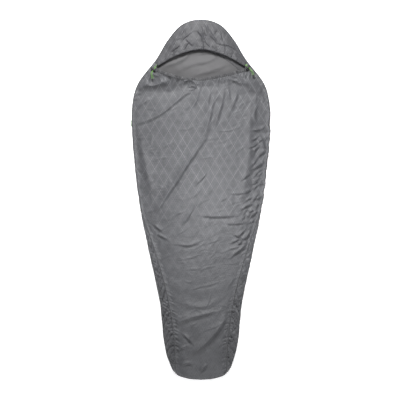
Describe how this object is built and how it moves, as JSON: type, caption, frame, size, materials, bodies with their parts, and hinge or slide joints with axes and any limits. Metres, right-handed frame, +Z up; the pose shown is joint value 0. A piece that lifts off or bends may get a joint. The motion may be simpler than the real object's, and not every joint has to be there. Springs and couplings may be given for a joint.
{
  "type": "mummy sleeping bag",
  "caption": "Thin unpadded mummy sleeping bag lying flat, with a tapered body, side gussets at the legs, a half hood over an oval face opening, drawcord locks and tie loops.",
  "frame": {"origin": "centre of the bottom of the bag's bounding box, on the floor under the middle of its length", "axes": "+Y along the bag from the foot to the hood, +Z up from the floor, +X to the bag's right side as seen from above"},
  "size_m": [0.8166, 2.1021, 0.064],
  "materials": {
    "shell_cloth": "woven, matt, with a pale diamond grid",
    "inside_cloth": "plain weave, matt",
    "seam_thread": "stitched",
    "green_cord": "braided",
    "pale_cord": "twisted",
    "elastic_cord": "braided",
    "black_plastic": "moulded, satin",
    "spring_steel": "drawn wire"
  },
  "bodies": {
    "bag": {"back_panel": "inside_cloth", "hood_back": "inside_cloth", "front_panel": "shell_cloth", "side_panel_left": "shell_cloth", "side_panel_right": "shell_cloth", "foot_panel": "shell_cloth", "chest_hem": "shell_cloth", "chest_elastic": "elastic_cord", "corner_tab_left": "shell_cloth", "corner_tab_right": "shell_cloth", "side_seam_left": "seam_thread", "side_seam_right": "seam_thread", "gusset_base_seam_left": "seam_thread", "gusset_base_seam_right": "seam_thread", "gusset_top_seam_left": "seam_thread", "gusset_top_seam_right": "seam_thread", "hood_edge_seam": "seam_thread", "foot_base_seam": "seam_thread", "foot_top_seam": "seam_thread", "neck_seam": "seam_thread", "hood_strand_left": "green_cord", "sewn_strand_left": "green_cord", "cord_end_left": "black_plastic", "hood_strand_right": "green_cord", "sewn_strand_right": "green_cord", "cord_end_right": "black_plastic", "shoulder_left_loop": "green_cord", "shoulder_left_loop_tab": "seam_thread", "shoulder_right_loop": "green_cord", "shoulder_right_loop_tab": "seam_thread", "hip_left_loop": "pale_cord", "hip_left_loop_tab": "seam_thread", "hip_right_loop": "pale_cord", "hip_right_loop_tab": "seam_thread"},
    "hood": {"hood_crown": "shell_cloth", "hood_hem": "shell_cloth", "hood_drawcord": "green_cord"},
    "lock_left": {"lock_barrel_left": "black_plastic", "lock_spring_left": "spring_steel"},
    "button_left": {"lock_button_left": "black_plastic"},
    "lock_right": {"lock_barrel_right": "black_plastic", "lock_spring_right": "spring_steel"},
    "button_right": {"lock_button_right": "black_plastic"}
  },
  "joints": [
    {"name": "hood_lift", "type": "hinge", "parent": "bag", "child": "hood", "pos_m": [0, 1.044, 0.0125], "axis": [-1, 0, 0], "range_deg": [0, 50]},
    {"name": "lock_left_slide", "type": "slide", "parent": "bag", "child": "lock_left", "axis": [-0.5736, -0.8192, 0], "range_m": [0, 0.009]},
    {"name": "button_left_press", "type": "slide", "parent": "lock_left", "child": "button_left", "axis": [0.8192, -0.5736, 0], "range_m": [0, 0.0025], "stiffness_N_per_m": 400, "springref_m": -0.004},
    {"name": "lock_right_slide", "type": "slide", "parent": "bag", "child": "lock_right", "axis": [0.7071, -0.7071, 0], "range_m": [0, 0.009]},
    {"name": "button_right_press", "type": "slide", "parent": "lock_right", "child": "button_right", "axis": [0.7071, 0.7071, 0], "range_m": [0, 0.0025], "stiffness_N_per_m": 400, "springref_m": -0.004}
  ]
}
